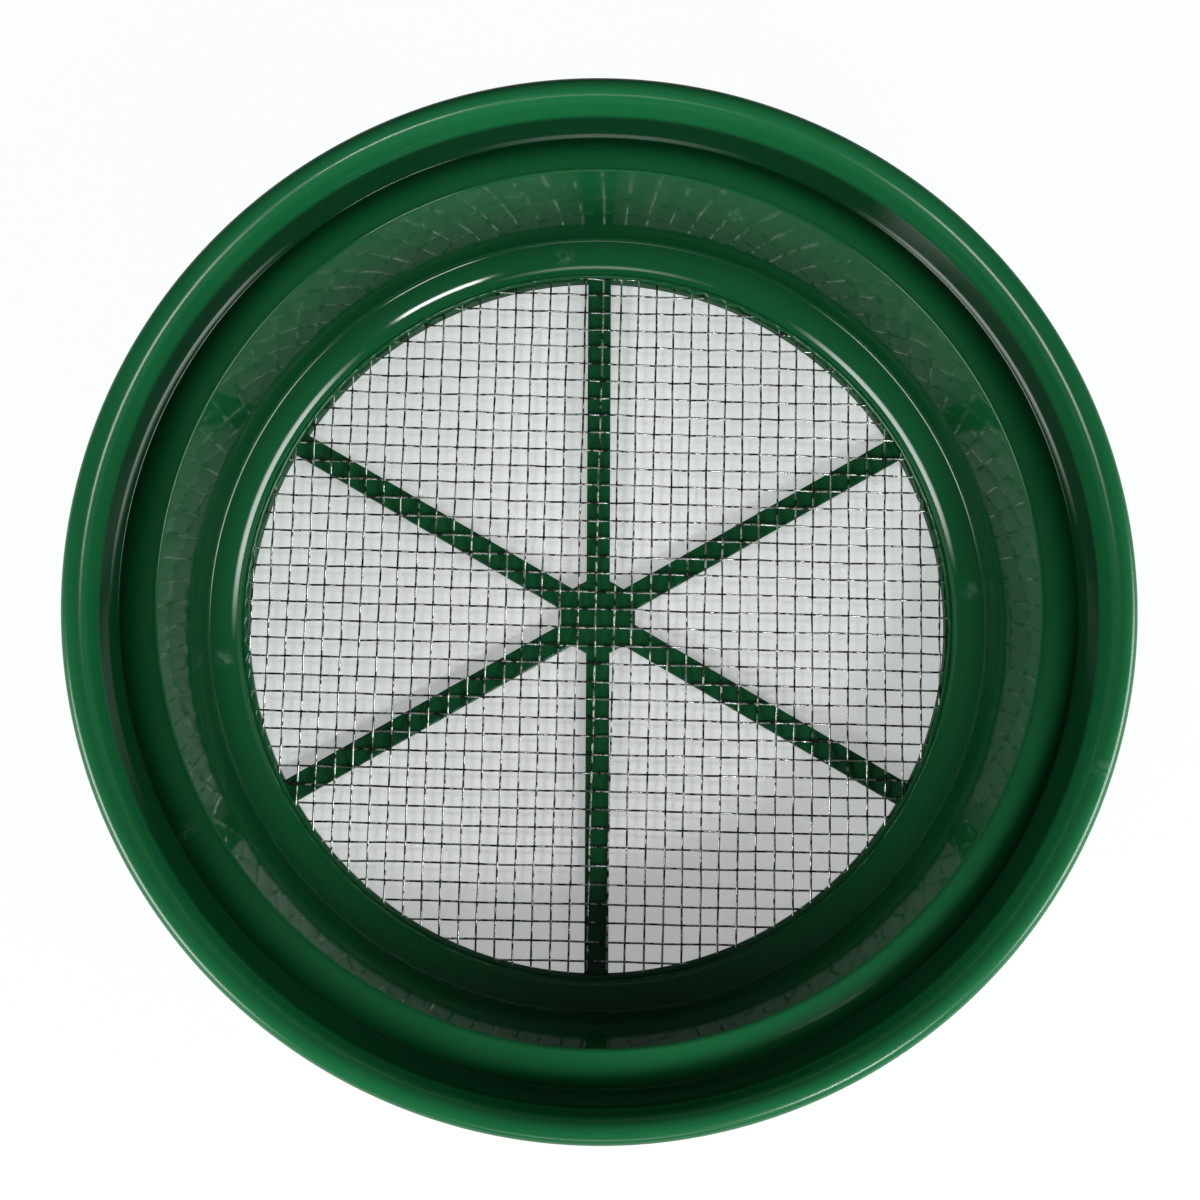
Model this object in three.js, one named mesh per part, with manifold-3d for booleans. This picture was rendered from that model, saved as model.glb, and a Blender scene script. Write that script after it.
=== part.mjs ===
// A gold classifier: a sifting pan with a wire screen for a floor. It drops into the mouth of a bucket,
// hangs there on the ledge half way up its wall, and stands on its foot when it is put down.
// Millimetres, +Z up. The origin is on the surface that the pan stands on, in the pan's middle.
import * as THREE from "three";
import { mergeVertices } from "three/addons/utils/BufferGeometryUtils.js";
import Module from "manifold-3d";

const wasm = await Module();
wasm.setup();

// Plastic shell
const RIM_RADIUS = 168.3; // 13 1/4 in across the rim
const RIM_HEIGHT = 82.6; // 3 1/4 in from the foot to the rim
const WALL = 2.4;
const SKIRT_DEPTH = 9; // how far the rolled rim hangs down outside
const RIM_LEAN = 1.1; // how far the rim wall leans outwards between its foot and its top
const RIM_FOOT = [159.3, 70.3]; // [radius, height] where the rim wall meets the gutter
const RIM_FOOT_FILL = 0.9; // extra thickness of the wall under the rim's foot
const GUTTER = [153.9, 63.4]; // the crease at the bottom of the gutter
const LEDGE_CROWN = [148, 65.3]; // the ledge curves over here, steeper towards the gutter
const LEDGE = [141.3, 66.6]; // the edge over which the ledge turns down into the bowl
const BOWL_FOOT = [134.6, 15.7]; // where the bowl's wall meets the flange round the screen
const LIP = [126.6, 11.6]; // the flange's rounded lip
const OPENING_RADIUS = 122.5; // inside of the flange and of the support ring
const FLANGE_UNDERSIDE = 7;
const FLANGE_THICKNESS = 1.6 * WALL; // where the flange meets the foot
const FLANGE_EDGE = 1; // height of the flange's upright inner edge
const CLAMP_LAND = 3.5; // width of the flat land that presses on the screen
const SEAT_HEIGHT = 62.4; // flat underside of the ledge, which sits on the bucket's rim
const SEAT_RADIUS = 151.8; // just over the outside of a bucket's rim
const DRIP_LIP = 1.5; // how far the gutter hangs down round the bucket's rim
const DRIP_LIP_DRAFT = 0.4; // how much wider the drip lip's inside is at its open end

// Setbacks of the shell's rounded corners
const EDGE = 0.6;
const CREASE = 0.8;
const LEDGE_EDGE = 1;
const LEDGE_ROLL = 5.6;
const SEAT_FILLET = 1.2;
const FLANGE_ROLL = 2.8;
const RIM_ROLL = 3.9;
const RIM_SHOULDER = 2.6;

// Support ring
const GAP = 0.3; // between pieces that touch
const FOOT_INNER_RADIUS = 132.5;
const RING_HEIGHT = 5;
const SPOKES = 6;
const SPOKE_WIDTH = 7.5;
const SPOKE_DEPTH = 3.4;
const HUB_ACROSS_FLATS = 25.4;

// Wire screen: quarter-inch openings, woven, here as one layer of straight wires over the other
const PITCH = 6.35;
const WIRE = 0.7;
const LAYER = 0.6; // height of a layer of wires
const LAYER_GAP = 0.2;
const CLOTH_RADIUS = 131.6; // edge of the wire cloth, between the flange and the ring
const SELVEDGE = 2.6; // width of the edge where the cut wires are fused together
const CLOTH_TURN = THREE.MathUtils.degToRad(-1.1); // the cloth isn't quite square to the spokes
const WARP_SHIFT = -0.8; // from the middle of the pan to the nearest wire
const WEFT_SHIFT = 2.4;

const SIDES = 60; // facets round the pan
const FILLET_STEPS = 2;

// The line through two points of the inner face, moved through the wall: a function from height to radius.
function outerFace([r0, z0], [r1, z1]) {
  const length = Math.hypot(r1 - r0, z1 - z0);
  const outward = ((z1 - z0) / length) * WALL;
  const downward = ((r1 - r0) / length) * WALL;
  return (z) => r0 + outward + ((z - z0 + downward) * (r1 - r0)) / (z1 - z0);
}

// Corners are [radius, height, setback]: each is rounded off from setback before it to setback after it.
function outline(corners) {
  const path = new THREE.Path();
  corners.forEach(([r, z, setback = 0], i) => {
    const corner = new THREE.Vector2(r, z);
    const towards = ([r1, z1]) =>
      new THREE.Vector2(r1, z1).sub(corner).setLength(setback).add(corner);
    const start = towards(corners.at(i - 1));
    const end = towards(corners[(i + 1) % corners.length]);
    if (i === 0) path.moveTo(start.x, start.y);
    else path.lineTo(start.x, start.y);
    if (setback > 0) path.quadraticCurveTo(corner.x, corner.y, end.x, end.y);
  });
  path.closePath();
  return path.getPoints(FILLET_STEPS);
}

// A closed outline turned about the pan's axis.
function turned(corners) {
  return new THREE.LatheGeometry(outline(corners), SIDES).rotateX(Math.PI / 2);
}

function rectangularRing(inner, outer, bottom, top) {
  return turned([
    [inner, bottom],
    [outer, bottom],
    [outer, top],
    [inner, top],
  ]);
}

function toSolid(geometry) {
  const bare = geometry.clone();
  bare.deleteAttribute("normal");
  bare.deleteAttribute("uv");
  const merged = mergeVertices(bare, 1e-4);
  return new wasm.Manifold(
    new wasm.Mesh({
      numProp: 3,
      vertProperties: merged.attributes.position.array,
      triVerts: new Uint32Array(merged.index.array),
    }),
  );
}

function joined(geometries) {
  const whole = geometries.map(toSolid).reduce((a, b) => a.add(b));
  const { vertProperties, triVerts } = whole.getMesh();
  const geometry = new THREE.BufferGeometry();
  geometry.setAttribute("position", new THREE.BufferAttribute(vertProperties, 3));
  geometry.setIndex(new THREE.BufferAttribute(triVerts, 1));
  geometry.computeVertexNormals();
  return geometry;
}

// The moulded shell: flange, bowl, ledge, gutter and rolled rim in one piece, with a foot under the bowl.
function shellGeometry() {
  const bowlOuter = outerFace(BOWL_FOOT, LEDGE);
  const gutterOuter = outerFace(GUTTER, RIM_FOOT);
  const rimWallTop = [RIM_FOOT[0] + RIM_LEAN, RIM_HEIGHT];
  const rimOuter = outerFace(RIM_FOOT, rimWallTop);
  const rimUnderside = RIM_HEIGHT - WALL;
  const skirtBottom = RIM_HEIGHT - SKIRT_DEPTH;
  const lipBottom = SEAT_HEIGHT - DRIP_LIP;
  const rimFootUnderside = RIM_FOOT[1] - RIM_FOOT_FILL;
  return turned([
    [OPENING_RADIUS, FLANGE_UNDERSIDE],
    [OPENING_RADIUS + CLAMP_LAND, FLANGE_UNDERSIDE],
    [FOOT_INNER_RADIUS, BOWL_FOOT[1] - FLANGE_THICKNESS],
    [FOOT_INNER_RADIUS, 0],
    [bowlOuter(0), 0, EDGE],
    [bowlOuter(SEAT_HEIGHT), SEAT_HEIGHT, SEAT_FILLET],
    [SEAT_RADIUS, SEAT_HEIGHT],
    [SEAT_RADIUS + DRIP_LIP_DRAFT, lipBottom],
    [gutterOuter(lipBottom), lipBottom, EDGE],
    [rimOuter(rimFootUnderside), rimFootUnderside],
    [rimOuter(rimUnderside), rimUnderside],
    [RIM_RADIUS - WALL, rimUnderside],
    [RIM_RADIUS - WALL, skirtBottom],
    [RIM_RADIUS, skirtBottom, EDGE],
    [RIM_RADIUS, RIM_HEIGHT, RIM_ROLL],
    [...rimWallTop, RIM_SHOULDER],
    [...RIM_FOOT, CREASE],
    [...GUTTER, CREASE],
    [...LEDGE_CROWN, LEDGE_ROLL],
    [...LEDGE, LEDGE_EDGE],
    [...BOWL_FOOT, LEDGE_EDGE],
    [...LIP, FLANGE_ROLL],
    [OPENING_RADIUS, FLANGE_UNDERSIDE + FLANGE_EDGE, EDGE],
  ]);
}

// The ring under the screen, with six spokes from a hexagonal hub: a corner of the hub faces each spoke.
function supportGeometry() {
  const outer = FOOT_INNER_RADIUS - GAP;
  const spokeEnd = (OPENING_RADIUS + outer) / 2;
  const middle = RING_HEIGHT - SPOKE_DEPTH / 2;
  const hubRadius = HUB_ACROSS_FLATS / Math.sqrt(3);
  const hub = new THREE.CylinderGeometry(hubRadius, hubRadius, SPOKE_DEPTH, SPOKES)
    .rotateX(Math.PI / 2)
    .translate(0, 0, middle);
  const spokes = Array.from({ length: SPOKES }, (_, i) =>
    new THREE.BoxGeometry(SPOKE_WIDTH, spokeEnd, SPOKE_DEPTH)
      .translate(0, spokeEnd / 2, middle)
      .rotateZ((i * 2 * Math.PI) / SPOKES),
  );
  return joined([rectangularRing(OPENING_RADIUS, outer, 0, RING_HEIGHT), hub, ...spokes]);
}

// One layer of the screen: parallel wires along Y, a pitch apart, joined at their ends by the selvedge.
function wireLayerGeometry(shift) {
  const inner = CLOTH_RADIUS - SELVEDGE;
  const wireEnd = CLOTH_RADIUS - SELVEDGE / 2;
  const wires = [];
  const last = Math.floor((inner - Math.abs(shift)) / PITCH);
  for (let i = -last; i <= last; i += 1) {
    const x = shift + i * PITCH;
    const length = 2 * Math.sqrt(wireEnd ** 2 - x ** 2);
    wires.push(new THREE.BoxGeometry(WIRE, length, LAYER).translate(x, 0, LAYER / 2));
  }
  return joined([rectangularRing(inner, CLOTH_RADIUS, 0, LAYER), ...wires]);
}

function mesh(name, geometry, material) {
  const made = new THREE.Mesh(geometry, material);
  made.name = name;
  return made;
}

const greenPlastic = { color: 0x1c6b3c, roughness: 0.18, metalness: 0 };
const steelWire = { color: 0xb4b4b0, roughness: 0.3, metalness: 1 };

const shell = mesh("pan_shell", shellGeometry(), new THREE.MeshStandardMaterial(greenPlastic));
const support = mesh(
  "support_ring",
  supportGeometry(),
  new THREE.MeshStandardMaterial({ ...greenPlastic, roughness: 0.25 }),
);

const weft = mesh(
  "screen_weft_wires",
  wireLayerGeometry(WEFT_SHIFT),
  new THREE.MeshStandardMaterial(steelWire),
);
weft.rotation.z = Math.PI / 2;
const warp = mesh(
  "screen_warp_wires",
  wireLayerGeometry(WARP_SHIFT),
  new THREE.MeshStandardMaterial(steelWire),
);
warp.position.z = LAYER + LAYER_GAP;

const screen = new THREE.Group();
screen.add(weft, warp);
screen.position.z = RING_HEIGHT + GAP;
screen.rotation.z = CLOTH_TURN;

const pan = new THREE.Group();
pan.add(shell, support, screen);

export default pan;
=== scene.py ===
"""A gold classifier: a green plastic sifting pan with a woven wire screen, on a white floor.

Lengths are in metres, in the row frame: +Z up, with the floor at 0 and the pan's axis along Z.
"""

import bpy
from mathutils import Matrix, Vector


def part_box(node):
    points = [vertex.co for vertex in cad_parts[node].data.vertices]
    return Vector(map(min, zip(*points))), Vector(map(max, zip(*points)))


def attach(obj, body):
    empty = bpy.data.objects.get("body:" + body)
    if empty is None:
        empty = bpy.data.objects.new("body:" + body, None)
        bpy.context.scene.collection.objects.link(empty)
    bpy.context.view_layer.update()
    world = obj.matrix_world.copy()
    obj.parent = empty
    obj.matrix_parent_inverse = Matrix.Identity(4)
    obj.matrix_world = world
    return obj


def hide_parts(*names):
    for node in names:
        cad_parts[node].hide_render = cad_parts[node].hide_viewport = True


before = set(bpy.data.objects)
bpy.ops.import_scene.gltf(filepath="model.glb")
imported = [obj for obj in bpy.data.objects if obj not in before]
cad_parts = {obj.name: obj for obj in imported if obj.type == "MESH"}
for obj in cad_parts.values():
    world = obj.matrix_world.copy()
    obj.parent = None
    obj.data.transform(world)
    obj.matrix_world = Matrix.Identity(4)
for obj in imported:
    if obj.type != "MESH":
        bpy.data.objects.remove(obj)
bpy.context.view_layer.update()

import math
import random

import bpy
from mathutils import Matrix, Vector, noise

MM = 0.001
TURN = 2 * math.pi

# ---------------------------------------------------------------- sizes

_, shell_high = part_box("pan_shell")
_, ring_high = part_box("support_ring")
weft_low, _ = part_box("screen_weft_wires")
_, warp_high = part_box("screen_warp_wires")

RIM_RADIUS = shell_high.x
RIM_HEIGHT = shell_high.z
WALL = 2.4 * MM
SKIRT_DEPTH = 9 * MM  # how far the rolled rim hangs down outside
RIM_LEAN = 1.1 * MM  # how far the rim wall leans outwards between its foot and its top
RIM_FOOT_FILL = 0.9 * MM  # extra thickness of the wall under the rim's foot
RIM_FOOT = (159.3 * MM, 70.3 * MM)  # (radius, height) where the rim wall meets the gutter
GUTTER = (153.9 * MM, 63.4 * MM)  # the crease at the bottom of the gutter
LEDGE_CROWN = (148.0 * MM, 65.3 * MM)  # the ledge curves over here, steeper towards the gutter
LEDGE = (141.3 * MM, 66.6 * MM)  # the edge over which the ledge turns down into the bowl
BOWL_FOOT = (134.6 * MM, 15.7 * MM)  # where the bowl's wall meets the flange round the screen
LIP = (126.6 * MM, 11.6 * MM)  # the flange's rounded lip
OPENING_RADIUS = 122.5 * MM
SHELL_EDGE_RADIUS = 123.6 * MM  # where the flange ends and the edge melted over the screen begins
FLANGE_UNDERSIDE = 7 * MM
FLANGE_THICKNESS = 1.6 * WALL  # where the flange meets the foot
FLANGE_EDGE = 1 * MM  # height of the flange's upright inner edge
CLAMP_LAND = 3.5 * MM
SEAT_HEIGHT = 62.4 * MM
SEAT_RADIUS = 151.8 * MM
DRIP_LIP = 1.5 * MM
DRIP_LIP_DRAFT = 0.4 * MM  # how much wider the drip lip's inside is at its open end

FOOT_INNER_RADIUS = 132.5 * MM
RING_OUTER_RADIUS = ring_high.x
RING_HEIGHT = ring_high.z
SPOKES = 6
SPOKE_WIDTH = 7.5 * MM
SPOKE_DEPTH = 3.4 * MM
HUB_ACROSS_FLATS = 25.4 * MM

PITCH = 6.35 * MM
WIRE = 0.7 * MM
CRIMP = 0.93  # 0 for a wave, 1 for straight stretches with a sharp bend at each crossing
SCREEN_HEIGHT = (weft_low.z + warp_high.z) / 2  # the middle of the woven cloth
CLOTH_TURN = math.radians(-1.1)
WARP_SHIFT = -0.8 * MM
WEFT_SHIFT = 2.4 * MM
WIRE_END_RADIUS = 125.5 * MM
SHORTEST_WIRE_INSET = 2 * MM  # a wire nearer than this to the cloth's edge is left out
WIRE_SAMPLES = 8  # points of a wire's middle line from one crossing to the next

SEGMENTS = 360  # round the pan
EDGE_SEGMENTS = 1440  # round the melted edge
EDGE_SIDES = 12  # round its section

# (azimuth in degrees, radius, height, size) of the spots where the plastic is rubbed
RUBBED_SPOTS = [
    (95.6, 129.5 * MM, 13.3 * MM, 5.0 * MM),
    (4.0, 130.0 * MM, 13.5 * MM, 4.5 * MM),
    (187.0, 129.5 * MM, 13.3 * MM, 5.0 * MM),
    (71.0, 139.0 * MM, 50.0 * MM, 5.0 * MM),
    (211.0, 150.0 * MM, 65.0 * MM, 5.0 * MM),
    (-20.0, 163.5 * MM, 82.0 * MM, 4.0 * MM),
]

# (azimuth, spread) in degrees of the places where the melted edge shows a lump between each pair of wires
LUMPY_STRETCHES = [(71.0, 10.0), (191.0, 13.0)]


# ---------------------------------------------------------------- camera


CAMERA_PLACE = (-0.01002, -0.08371, 0.66104)
CAMERA_ANGLES = (9.710, -0.970, 0.271)  # degrees: it looks almost straight down
LENS = 56.4
SHIFT = -0.053


def make_camera():
    camera_data = bpy.data.cameras.new("camera")
    camera_data.sensor_width = 36
    camera_data.lens = LENS
    camera_data.shift_y = SHIFT
    camera_data.clip_start = 0.01
    camera_data.clip_end = 20
    camera = bpy.data.objects.new("camera", camera_data)
    camera.location = CAMERA_PLACE
    camera.rotation_euler = [math.radians(a) for a in CAMERA_ANGLES]
    bpy.context.scene.collection.objects.link(camera)
    bpy.context.scene.camera = camera


# ---------------------------------------------------------------- nodes for materials


class Nodes:
    """A material's node tree, with short calls to add nodes and link them."""

    def __init__(self, name):
        self.material = bpy.data.materials.new(name)
        self.material.use_nodes = True
        self.tree = self.material.node_tree
        self.tree.nodes.clear()
        self.output = self.tree.nodes.new("ShaderNodeOutputMaterial")

    def add(self, kind, settings=None, **inputs):
        node = self.tree.nodes.new("ShaderNode" + kind)
        for key, value in (settings or {}).items():
            setattr(node, key, value)
        for key, value in inputs.items():
            self.set(node, key.replace("_", " "), value)
        return node

    def set(self, node, socket, value):
        target = node.inputs[int(socket) if socket.isdigit() else socket]
        if isinstance(value, bpy.types.NodeSocket):
            self.tree.links.new(value, target)
        else:
            target.default_value = value

    def math(self, operation, a, b=0.0, clamp=False):
        node = self.tree.nodes.new("ShaderNodeMath")
        node.operation = operation
        node.use_clamp = clamp
        self.set(node, "0", a)
        self.set(node, "1", b)
        return node.outputs[0]

    def noise(self, vector, scale, detail=2.0, roughness=0.5):
        node = self.add("TexNoise", Scale=scale, Detail=detail, Roughness=roughness)
        self.set(node, "Vector", vector)
        return node.outputs["Fac"]

    def between(self, value, low, high, to_low=0.0, to_high=1.0):
        node = self.add("MapRange", {"interpolation_type": "SMOOTHSTEP"})
        for socket, number in zip("01234", (value, low, high, to_low, to_high)):
            self.set(node, socket, number)
        return node.outputs[0]

    def mix(self, factor, a, b):
        node = self.tree.nodes.new("ShaderNodeMix")
        node.data_type = "RGBA"
        self.set(node, "0", factor)
        self.set(node, "6", a)
        self.set(node, "7", b)
        return node.outputs[2]


def rgb(red, green, blue):
    """A screen colour of 0 to 255 as the linear colour that a shader takes."""

    def linear(v):
        v /= 255
        return v / 12.92 if v <= 0.04045 else ((v + 0.055) / 1.055) ** 2.4

    return (linear(red), linear(green), linear(blue), 1.0)


# ---------------------------------------------------------------- materials


LIGHT_GREEN, DARK_GREEN = rgb(28, 113, 64), rgb(20, 102, 56)
PALE_GRAIN = rgb(38, 114, 74)
# painted shade for the gutter, not the plastic's own colour
GUTTER_SHADE_GREEN = rgb(5, 46, 24)
# painted shade for the bowl's inner wall, not the plastic's own colour
LOW_WALL_SHADE_GREEN = rgb(8, 54, 28)
DUST = rgb(150, 185, 165)
RUBBED_GREEN = rgb(96, 150, 128)
# the darker steel colour is painted dark breaks between painted glint dashes along the wires
BRIGHT_STEEL, PAINTED_DARK_BREAK_STEEL = rgb(250, 250, 246), rgb(84, 82, 79)
SKY = (0.055, 0.058, 0.06, 1)
BACKDROP = (0.97, 1.0, 1.0, 1)


def from_axis(n, place):
    """How far a point is from the pan's axis, and its height."""
    axes = n.add("SeparateXYZ")
    n.set(axes, "0", place)
    x, y, z = axes.outputs
    squares = n.math("ADD", n.math("MULTIPLY", x, x), n.math("MULTIPLY", y, y))
    return n.math("SQRT", squares), z


def rubbed(n, place, azimuth, radius, height, size):
    """A soft spot of the surface, this large, where something rubbed it."""
    a = math.radians(azimuth)
    gap = n.add("VectorMath", {"operation": "DISTANCE"})
    n.set(gap, "0", place)
    n.set(gap, "1", (radius * math.cos(a), radius * math.sin(a), height))
    return n.between(gap.outputs["Value"], 0.2 * size, size, 1.0, 0.0)


def green_plastic(name, roughness):
    """Glossy injection-moulded plastic: faint colour clouds, hairline scuffs, rubbed spots and specks of dust,
    painted shade down the bowl's inner wall and in the gutter, and a softer sheen on the rim."""
    n = Nodes(name)
    place = n.add("TexCoord").outputs["Object"]
    radius, height = from_axis(n, place)
    cloud = n.noise(place, 9.0, 3.0)
    fine = n.noise(place, 160.0, 4.0, 0.6)
    colour = n.mix(n.between(cloud, 0.3, 0.7), DARK_GREEN, LIGHT_GREEN)
    colour = n.mix(n.math("MULTIPLY", fine, 0.12), colour, PALE_GRAIN)

    # painted shade: darkens the gutter and the outer part of the ledge beside it, where shade falls
    gutter_shade = n.between(radius, 144.0 * MM, 154.0 * MM)
    gutter_shade = n.math("MULTIPLY", gutter_shade, n.between(radius, 158.2 * MM, 160.4 * MM, 1.0, 0.0))
    gutter_shade = n.math("MULTIPLY", gutter_shade, n.between(height, 69.0 * MM, 71.5 * MM, 1.0, 0.0))
    gutter_slope = (RIM_FOOT[1] - GUTTER[1]) / (RIM_FOOT[0] - GUTTER[0])
    above = n.math("SUBTRACT", height, n.math("MULTIPLY", n.math("SUBTRACT", radius, GUTTER[0]), gutter_slope))
    above = n.between(n.math("MINIMUM", above, height), GUTTER[1] - 0.8 * MM, GUTTER[1] - 0.2 * MM)
    gutter_shade = n.math("MULTIPLY", gutter_shade, above)
    colour = n.mix(n.math("MULTIPLY", gutter_shade, 0.92), colour, GUTTER_SHADE_GREEN)

    # painted shade: darkens the bowl's inner wall, most from about 18 to 25 mm up, less near the flange and the ledge
    wall_slope = (LEDGE[0] - BOWL_FOOT[0]) / (LEDGE[1] - BOWL_FOOT[1])
    inside = n.math("SUBTRACT", radius, n.math("MULTIPLY", n.math("SUBTRACT", height, BOWL_FOOT[1]), wall_slope))
    low = n.between(inside, BOWL_FOOT[0] + 0.6 * MM, BOWL_FOOT[0] + 1.6 * MM, 1.0, 0.0)
    low = n.math("MULTIPLY", low, n.between(height, 12.0 * MM, 18.0 * MM, 0.35, 1.0))
    low = n.math("MULTIPLY", low, n.between(height, 25.0 * MM, 66.0 * MM, 1.0, 0.5))
    colour = n.mix(n.math("MULTIPLY", low, 0.85), colour, LOW_WALL_SHADE_GREEN)

    specks = n.add("TexVoronoi", {"feature": "F1"}, Scale=230.0, Randomness=1.0)
    n.set(specks, "Vector", place)
    rare = n.between(specks.outputs["Color"], 0.985, 0.99)
    speck = n.math("MULTIPLY", n.between(specks.outputs["Distance"], 0.10, 0.16, 1.0, 0.0), rare)
    colour = n.mix(n.math("MULTIPLY", speck, 0.55), colour, DUST)

    stretched = n.add("Mapping", {"vector_type": "POINT"}, Scale=(6.0, 60.0, 6.0), Rotation=(0.3, 0.2, 0.7))
    n.set(stretched, "Vector", place)
    hairline = n.between(n.noise(stretched.outputs[0], 14.0, 5.0, 0.7), 0.68, 0.74)

    spots = [rubbed(n, place, *spot) for spot in RUBBED_SPOTS]
    rub = spots[0]
    for spot in spots[1:]:
        rub = n.math("MAXIMUM", rub, spot)
    torn = n.between(n.noise(place, 260.0, 3.0, 0.6), 0.38, 0.68)
    rub = n.math("MULTIPLY", rub, torn)
    colour = n.mix(n.math("MULTIPLY", rub, 0.30), colour, RUBBED_GREEN)

    rough = n.math("MULTIPLY_ADD", fine, 0.05)
    rough.node.inputs[2].default_value = roughness
    rim = n.math("MULTIPLY", n.between(radius, 157.0 * MM, 160.0 * MM), n.between(height, 71.0 * MM, 75.0 * MM))
    rough = n.math("ADD", rough, n.math("MULTIPLY", rim, 0.16))
    rough = n.math("ADD", rough, n.math("MULTIPLY", hairline, 0.10))
    rough = n.math("ADD", rough, n.math("MULTIPLY", rub, 0.35))
    rough = n.math("ADD", rough, n.math("MULTIPLY", speck, 0.4), clamp=True)

    ripple = n.noise(place, 26.0, 2.0)
    bumps = n.math("ADD", ripple, n.math("MULTIPLY", fine, 0.03))
    bump = n.add("Bump", Strength=0.35, Distance=0.00025)
    n.set(bump, "Height", bumps)

    shader = n.add("BsdfPrincipled", IOR=1.5)
    n.set(shader, "Base Color", colour)
    n.set(shader, "Roughness", rough)
    n.set(shader, "Normal", bump.outputs[0])
    n.set(n.output, "Surface", shader.outputs[0])
    return n.material


def steel_wire():
    """Bright steel with a fine grain, its colour alternating in short stretches between bright and dark: painted
    glint dashes and painted dark breaks.
    """
    n = Nodes("steel_wire")
    place = n.add("TexCoord").outputs["Object"]
    # painted glints: short bright stretches and dark breaks alternate along each wire
    painted_glint_dashes = n.between(n.noise(place, 330.0, 1.5), 0.42, 0.52)
    grain = n.noise(place, 1500.0, 2.0)
    colour = n.mix(painted_glint_dashes, PAINTED_DARK_BREAK_STEEL, BRIGHT_STEEL)
    rough = n.between(grain, 0.3, 0.7, 0.24, 0.38)
    bump = n.add("Bump", Strength=0.25, Distance=0.00004)
    n.set(bump, "Height", grain)
    shader = n.add("BsdfPrincipled", Metallic=1.0)
    n.set(shader, "Base Color", colour)
    n.set(shader, "Roughness", rough)
    n.set(shader, "Normal", bump.outputs[0])
    n.set(n.output, "Surface", shader.outputs[0])
    return n.material


def white_floor():
    """A white sheet that keeps the pan's shadow: part lit, part glowing. To the camera it glows more outside the pan
    than under the screen; in reflections it glows a little."""
    n = Nodes("white_floor")
    radius, _ = from_axis(n, n.add("TexCoord").outputs["Object"])
    path = n.add("LightPath").outputs
    camera = path["Is Camera Ray"]
    paper = n.mix(camera, (0.62, 0.66, 0.65, 1.0), (1.55, 1.60, 1.59, 1.0))
    lit = n.add("BsdfDiffuse", Roughness=0.5)
    n.set(lit, "Color", paper)
    glow = n.add("Emission", Color=(0.98, 1.0, 1.0, 1.0), Strength=1.0)
    under = n.between(radius, 0.150, 0.185, 0.36, 0.96)
    share = n.math("MULTIPLY", camera, under)
    reflected = n.math("ADD", path["Is Glossy Ray"], path["Is Transmission Ray"], clamp=True)
    share = n.math("ADD", share, n.math("MULTIPLY", reflected, 0.03), clamp=True)
    both = n.add("MixShader")
    n.set(both, "0", share)
    n.set(both, "1", lit.outputs[0])
    n.set(both, "2", glow.outputs[0])
    n.set(n.output, "Surface", both.outputs[0])
    return n.material


# ---------------------------------------------------------------- mesh helpers


def new_piece(name, vertices, faces, material, smooth_angle=35.0):
    mesh = bpy.data.meshes.new(name)
    mesh.from_pydata(vertices, [], faces)
    mesh.validate()
    mesh.update()
    piece = bpy.data.objects.new(name, mesh)
    bpy.context.scene.collection.objects.link(piece)
    mesh.materials.append(material)
    mesh.shade_smooth()
    mesh.set_sharp_from_angle(angle=math.radians(smooth_angle))
    return piece


def outer_face(low, high):
    """The line through two points of the inner face, moved through the wall: a function from height to radius."""
    (r0, z0), (r1, z1) = low, high
    length = math.hypot(r1 - r0, z1 - z0)
    outward = (z1 - z0) / length * WALL
    downward = (r1 - r0) / length * WALL
    return lambda z: r0 + outward + (z - z0 + downward) * (r1 - r0) / (z1 - z0)


def outline(corners, step, round_steps=8):
    """Points round a closed outline. A corner is (radius, height, before, after): rounded off from before it to after
    it, with after the same as before where it isn't given. Straight stretches get a point every step or so, with one
    close to each end."""
    points = []
    count = len(corners)
    bends = []
    for i, corner in enumerate(corners):
        here = Vector(corner[:2])
        back = corner[2] if len(corner) > 2 else 0
        ahead = corner[3] if len(corner) > 3 else back
        before = Vector(corners[i - 1][:2])
        after = Vector(corners[(i + 1) % count][:2])
        start = here + (before - here).normalized() * back
        end = here + (after - here).normalized() * ahead
        if back > 0:
            arc = [
                start * (1 - t) ** 2 + here * 2 * t * (1 - t) + end * t * t
                for t in (k / round_steps for k in range(round_steps + 1))
            ]
        else:
            arc = [here]
        bends.append(arc)
    for i, arc in enumerate(bends):
        points += arc
        start, end = arc[-1], bends[(i + 1) % count][0]
        length = (end - start).length
        near = min(0.3 * MM, length / 3)
        parts = max(1, math.ceil((length - 2 * near) / step))
        for k in range(parts + 1):
            along = near + (length - 2 * near) * k / parts
            points.append(start + (end - start) * along / length)
    return [(p.x, p.y) for p in points]


def turned(points, segments):
    """The vertices and faces of a closed outline turned about Z."""
    vertices = []
    for s in range(segments):
        angle = TURN * s / segments
        for r, z in points:
            vertices.append((r * math.cos(angle), r * math.sin(angle), z))
    count = len(points)
    faces = []
    for s in range(segments):
        a, b = s * count, (s + 1) % segments * count
        for i in range(count):
            j = (i + 1) % count
            faces.append((a + i, b + i, b + j, a + j))
    return vertices, faces


# ---------------------------------------------------------------- plastic shell


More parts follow.
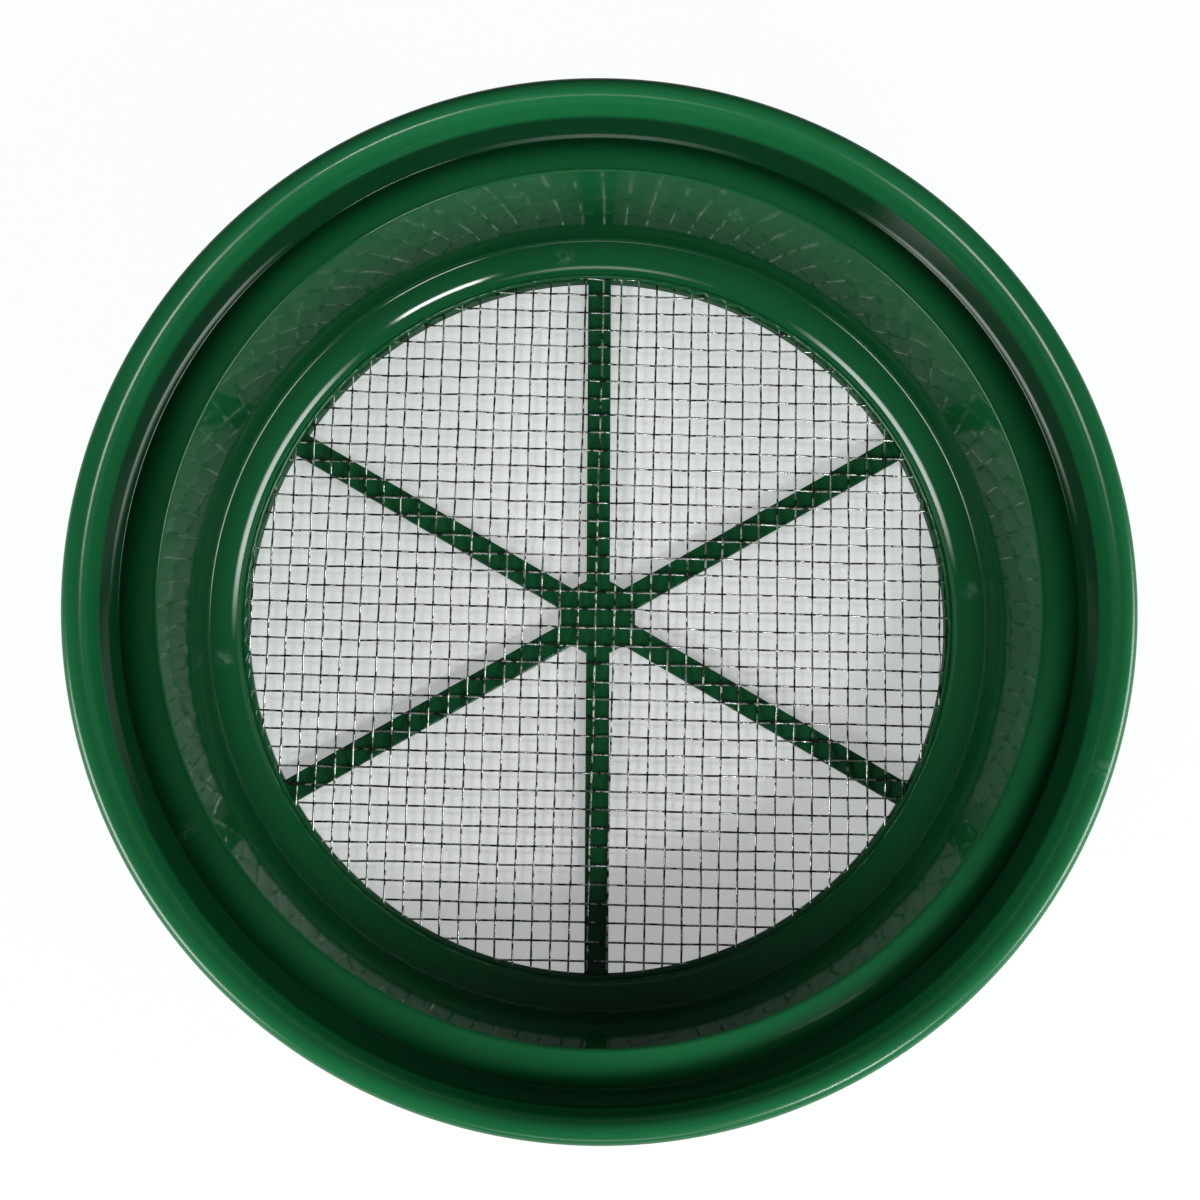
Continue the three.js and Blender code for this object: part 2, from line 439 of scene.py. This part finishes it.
def shell_corners():
    bowl_outer = outer_face(BOWL_FOOT, LEDGE)
    gutter_outer = outer_face(GUTTER, RIM_FOOT)
    rim_wall_top = (RIM_FOOT[0] + RIM_LEAN, RIM_HEIGHT)
    rim_outer = outer_face(RIM_FOOT, rim_wall_top)
    rim_underside = RIM_HEIGHT - WALL
    skirt_bottom = RIM_HEIGHT - SKIRT_DEPTH
    lip_bottom = SEAT_HEIGHT - DRIP_LIP
    rim_foot_underside = RIM_FOOT[1] - RIM_FOOT_FILL
    return [
        (SHELL_EDGE_RADIUS, FLANGE_UNDERSIDE, 0.3 * MM),
        (OPENING_RADIUS + CLAMP_LAND, FLANGE_UNDERSIDE, 0.3 * MM),
        (FOOT_INNER_RADIUS, BOWL_FOOT[1] - FLANGE_THICKNESS, 1.0 * MM),
        (FOOT_INNER_RADIUS, 0, 0.4 * MM),
        (bowl_outer(0), 0, 0.6 * MM),
        (bowl_outer(SEAT_HEIGHT), SEAT_HEIGHT, 1.2 * MM),
        (SEAT_RADIUS, SEAT_HEIGHT, 0.4 * MM),
        (SEAT_RADIUS + DRIP_LIP_DRAFT, lip_bottom, 0.3 * MM),
        (gutter_outer(lip_bottom), lip_bottom, 0.6 * MM),
        (rim_outer(rim_foot_underside), rim_foot_underside, 0.8 * MM),
        (rim_outer(rim_underside), rim_underside, 1.5 * MM),
        (RIM_RADIUS - WALL, rim_underside, 1.2 * MM),
        (RIM_RADIUS - WALL, skirt_bottom, 0.5 * MM),
        (RIM_RADIUS, skirt_bottom, 0.8 * MM),
        (RIM_RADIUS, RIM_HEIGHT, 5.4 * MM, 3.9 * MM),
        (*rim_wall_top, 3.9 * MM, 6.4 * MM),
        (*RIM_FOOT, 0.5 * MM),
        (*GUTTER, 0.4 * MM),
        (*LEDGE_CROWN, 5.6 * MM, 6.0 * MM),
        (*LEDGE, 1.1 * MM),
        (*BOWL_FOOT, 1.2 * MM),
        (*LIP, 4.6 * MM, 2.8 * MM),
        (SHELL_EDGE_RADIUS, FLANGE_UNDERSIDE + FLANGE_EDGE, 0.4 * MM),
    ]


def make_shell(material):
    points = outline(shell_corners(), 2.4 * MM)
    vertices, faces = turned(points, SEGMENTS)
    shell = new_piece("classifier_shell", vertices, faces, material, 30)
    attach(shell, "root")
    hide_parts("pan_shell")


def make_melted_edge(material):
    """The flange's inner edge, melted down over the wires: a lumpy bead with a bulge between wires in places."""
    middle = SHELL_EDGE_RADIUS + 0.2 * MM
    vertices = []
    for s in range(EDGE_SEGMENTS):
        angle = TURN * s / EDGE_SEGMENTS
        c, t = math.cos(angle), math.sin(angle)
        lump = noise.noise(Vector((11 * c, 11 * t, 3.1)))
        grain = noise.noise(Vector((70 * c, 70 * t, 7.7)))
        strength = 0.12
        for azimuth, spread in LUMPY_STRETCHES:
            off = (math.degrees(angle) - azimuth + 180) % 360 - 180
            strength += math.exp(-((off / spread) ** 2))
        between_x = abs(math.sin((OPENING_RADIUS * c - WARP_SHIFT) / PITCH * math.pi))
        between_y = abs(math.sin((OPENING_RADIUS * t - WEFT_SHIFT) / PITCH * math.pi))
        bulge = between_x * t * t + between_y * c * c
        reach = (1.1 + 0.35 * lump + 0.18 * grain + 1.1 * strength * (bulge - 0.3)) * MM
        top = (1.25 + 0.2 * lump + 0.15 * grain) * MM
        for k in range(EDGE_SIDES):
            a = TURN * k / EDGE_SIDES
            wide = 0.9 * MM if math.cos(a) > 0 else max(reach, 0.4 * MM)
            r = middle + wide * math.cos(a)
            z = FLANGE_UNDERSIDE + 0.5 * MM + top * math.sin(a)
            vertices.append((r * c, r * t, z))
    faces = []
    for s in range(EDGE_SEGMENTS):
        a, b = s * EDGE_SIDES, (s + 1) % EDGE_SEGMENTS * EDGE_SIDES
        for k in range(EDGE_SIDES):
            j = (k + 1) % EDGE_SIDES
            faces.append((a + k, b + k, b + j, a + j))
    edge = new_piece("melted_edge", vertices, faces, material, 60)
    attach(edge, "root")


# ---------------------------------------------------------------- support ring


def rounded(points, radius, steps=5):
    """A closed polygon of (x, y, rounding) with the corners that ask for it rounded off."""
    made = []
    count = len(points)
    for i, (x, y, wanted) in enumerate(points):
        here = Vector((x, y))
        if not wanted:
            made.append(here)
            continue
        before, after = Vector(points[i - 1][:2]), Vector(points[(i + 1) % count][:2])
        start = here + (before - here).normalized() * radius
        end = here + (after - here).normalized() * radius
        for k in range(steps + 1):
            t = k / steps
            made.append(start * (1 - t) ** 2 + here * 2 * t * (1 - t) + end * t * t)
    return made


def spider_gap(index):
    """The opening between two spokes: hub flat, spoke sides and an arc inside the ring."""
    half = SPOKE_WIDTH / 2
    arc_radius = OPENING_RADIUS + 2 * MM
    sector = TURN / SPOKES
    middle = TURN / 4 + sector / 2
    hub_flat = HUB_ACROSS_FLATS / 2

    def spoke_side(side, along):
        """A point beside one of the two spokes, this far from the hub's middle."""
        spoke = middle + side * sector / 2
        across = Vector((-math.sin(spoke), math.cos(spoke))) * -side * half
        return Vector((math.cos(spoke), math.sin(spoke))) * along + across

    # the spoke's side meets the hub's flat this far out
    meet = (hub_flat - half * math.sin(sector / 2)) / math.cos(sector / 2)
    outer_along = math.sqrt(arc_radius**2 - half**2)
    start = spoke_side(-1, outer_along)
    end = spoke_side(1, outer_along)
    first, last = math.atan2(start.y, start.x), math.atan2(end.y, end.x)
    if last < first:
        last += TURN
    points = [(*spoke_side(1, meet), True), (*spoke_side(-1, meet), True), (*start, True)]
    steps = 24
    for k in range(1, steps):
        a = first + (last - first) * k / steps
        points.append((arc_radius * math.cos(a), arc_radius * math.sin(a), False))
    points.append((*end, True))
    turn = Matrix.Rotation(index * sector, 2)
    return [turn @ p for p in rounded(points, 0.4 * MM)]


def make_support(material):
    curve = bpy.data.curves.new("spider", "CURVE")
    curve.dimensions = "2D"
    curve.fill_mode = "BOTH"
    bevel = 0.35 * MM
    curve.extrude = SPOKE_DEPTH / 2 - bevel
    curve.bevel_depth = bevel
    curve.bevel_resolution = 2
    ring_middle = (OPENING_RADIUS + RING_OUTER_RADIUS) / 2
    circle = [Vector((math.cos(TURN * k / 180), math.sin(TURN * k / 180))) * ring_middle for k in range(180)]
    for points in [circle] + [spider_gap(i) for i in range(SPOKES)]:
        spline = curve.splines.new("POLY")
        spline.points.add(len(points) - 1)
        for target, p in zip(spline.points, points):
            target.co = (p.x, p.y, 0, 1)
        spline.use_cyclic_u = True
    flat = bpy.data.objects.new("spider", curve)
    bpy.context.scene.collection.objects.link(flat)
    flat.location.z = RING_HEIGHT - SPOKE_DEPTH / 2
    bpy.context.view_layer.update()
    graph = bpy.context.evaluated_depsgraph_get()
    mesh = bpy.data.meshes.new_from_object(flat.evaluated_get(graph))
    mesh.transform(flat.matrix_world)
    bpy.data.objects.remove(flat)
    vertices = [tuple(v.co) for v in mesh.vertices]
    faces = [tuple(p.vertices) for p in mesh.polygons]
    spider = new_piece("support_spider", vertices, faces, material, 40)

    edge = 0.6 * MM
    ring_points = outline(
        [
            (OPENING_RADIUS, 0, edge),
            (RING_OUTER_RADIUS, 0, edge),
            (RING_OUTER_RADIUS, RING_HEIGHT, edge),
            (OPENING_RADIUS, RING_HEIGHT, edge),
        ],
        2.5 * MM,
        5,
    )
    ring = new_piece("support_hoop", *turned(ring_points, SEGMENTS), material, 30)
    for piece in (spider, ring):
        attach(piece, "root")
    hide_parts("support_ring")


# ---------------------------------------------------------------- wire screen


def wire_path(shift, index, other_shift, over_first, seed):
    """The middle line of one wire of the cloth along Y: crimped over and under the wires that cross it."""
    rng = random.Random(seed)
    x = shift + index * PITCH
    half = math.sqrt(WIRE_END_RADIUS**2 - x * x)
    drift = rng.uniform(-1, 1) * 0.18 * MM
    wave = rng.uniform(0, TURN)
    wave_length = rng.uniform(60, 140) * MM
    start, end = -half + rng.uniform(-0.6, 0.6) * MM, half + rng.uniform(-0.6, 0.6) * MM
    steps = round((end - start) / PITCH * WIRE_SAMPLES)
    points = []
    for k in range(steps + 1):
        y = start + (end - start) * k / steps
        phase = (y - other_shift) / PITCH * math.pi
        sign = 1 if (index + over_first) % 2 else -1
        z = sign * WIRE / 2 * math.asin(CRIMP * math.cos(phase)) / math.asin(CRIMP)
        side = drift + 0.14 * MM * math.sin(wave + y / wave_length * TURN)
        side += 0.05 * MM * math.sin(phase * 0.5 + seed)
        points.append(Vector((x + side, y, z)))
    return points


def tube(points, radius, sides=8):
    """A round wire along points, its ends closed by flat caps."""
    vertices, faces = [], []
    for i, p in enumerate(points):
        ahead = points[min(i + 1, len(points) - 1)] - points[max(i - 1, 0)]
        ahead.normalize()
        across = Vector((1, 0, 0)) - ahead * ahead.x
        across.normalize()
        up = across.cross(ahead)
        for s in range(sides):
            a = TURN * s / sides
            vertices.append(p + across * math.cos(a) * radius + up * math.sin(a) * radius)
    for i in range(len(points) - 1):
        a, b = i * sides, (i + 1) * sides
        for s in range(sides):
            t = (s + 1) % sides
            faces.append((a + s, a + t, b + t, b + s))
    faces.append(tuple(range(sides))[::-1])
    last = (len(points) - 1) * sides
    faces.append(tuple(last + s for s in range(sides)))
    return vertices, faces


def make_layer(name, shift, other_shift, turn, over_first, seed, replaced, material):
    vertices, faces = [], []
    last = math.floor((WIRE_END_RADIUS - abs(shift)) / PITCH)
    for index in range(-last, last + 1):
        if abs(shift + index * PITCH) > WIRE_END_RADIUS - SHORTEST_WIRE_INSET:
            continue
        wire = tube(wire_path(shift, index, other_shift, over_first, seed + index), WIRE / 2)
        base = len(vertices)
        vertices += wire[0]
        faces += [tuple(base + v for v in face) for face in wire[1]]
    place = Matrix.Translation((0, 0, SCREEN_HEIGHT)) @ Matrix.Rotation(turn + CLOTH_TURN, 4, "Z")
    layer = new_piece(name, [place @ v for v in vertices], faces, material, 50)
    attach(layer, "root")
    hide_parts(replaced)


def make_screen(material):
    make_layer("warp_wires", WARP_SHIFT, WEFT_SHIFT, 0, 0, 100, "screen_warp_wires", material)
    make_layer("weft_wires", WEFT_SHIFT, -WARP_SHIFT, TURN / 4, 1, 300, "screen_weft_wires", material)


# ---------------------------------------------------------------- floor and lights


def make_floor():
    size = 12.0
    corners = [(-size, -size, 0), (size, -size, 0), (size, size, 0), (-size, size, 0)]
    floor = new_piece("floor", corners, [(0, 1, 2, 3)], white_floor())


def area_light(name, azimuth, distance, height, width, tall, strength, soft):
    """A rectangular lamp that faces the pan and fades towards its edges over this share of its size. azimuth is
    counter-clockwise from +X."""
    data = bpy.data.lights.new(name, "AREA")
    data.shape = "RECTANGLE"
    data.size = width
    data.size_y = tall
    data.energy = strength
    data.use_nodes = True
    tree = data.node_tree
    emission = next(node for node in tree.nodes if node.bl_idname == "ShaderNodeEmission")
    place = tree.nodes.new("ShaderNodeNewGeometry").outputs["Parametric"]
    axes = tree.nodes.new("ShaderNodeSeparateXYZ")
    tree.links.new(place, axes.inputs[0])
    fades = []
    for axis in (0, 1):
        for low, high in ((0.0, soft), (1.0, 1.0 - soft)):
            fade = tree.nodes.new("ShaderNodeMapRange")
            fade.interpolation_type = "SMOOTHSTEP"
            tree.links.new(axes.outputs[axis], fade.inputs[0])
            fade.inputs[1].default_value = low
            fade.inputs[2].default_value = high
            fades.append(fade.outputs[0])
    product = fades[0]
    for fade in fades[1:]:
        times = tree.nodes.new("ShaderNodeMath")
        times.operation = "MULTIPLY"
        tree.links.new(product, times.inputs[0])
        tree.links.new(fade, times.inputs[1])
        product = times.outputs[0]
    tree.links.new(product, emission.inputs["Strength"])
    lamp = bpy.data.objects.new(name, data)
    a = math.radians(azimuth)
    lamp.location = (distance * math.cos(a), distance * math.sin(a), height)
    direction = Vector((0, 0, 0.05)) - lamp.location
    lamp.rotation_euler = direction.to_track_quat("-Z", "Y").to_euler()
    bpy.context.scene.collection.objects.link(lamp)


def make_lights():
    world = bpy.data.worlds.new("studio")
    world.use_nodes = True
    tree = world.node_tree
    sky = tree.nodes["Background"]
    sky.inputs["Color"].default_value = SKY
    white = tree.nodes.new("ShaderNodeBackground")
    white.inputs["Color"].default_value = BACKDROP
    both = tree.nodes.new("ShaderNodeMixShader")
    tree.links.new(tree.nodes.new("ShaderNodeLightPath").outputs["Is Camera Ray"], both.inputs[0])
    tree.links.new(sky.outputs[0], both.inputs[1])
    tree.links.new(white.outputs[0], both.inputs[2])
    tree.links.new(both.outputs[0], tree.nodes["World Output"].inputs["Surface"])
    bpy.context.scene.world = world
    area_light("right_softbox", -14, 0.75, 0.34, 0.78, 0.36, 10.0, 0.3)
    area_light("left_softbox", -154, 0.75, 0.34, 0.78, 0.36, 10.0, 0.3)
    area_light("key", -57.5, 0.65, 0.62, 0.24, 0.12, 2.7, 0.2)
    area_light("front_panel", -90, 0.80, 0.42, 0.7, 0.26, 2.2, 0.45)


# ---------------------------------------------------------------- scene

bpy.context.scene.view_settings.view_transform = "Standard"
make_camera()
plastic = green_plastic("green_plastic", 0.045)
plastic_ring = green_plastic("green_plastic_ring", 0.16)
wire = steel_wire()
make_shell(plastic)
make_melted_edge(plastic)
make_support(plastic_ring)
make_screen(wire)
make_floor()
make_lights()
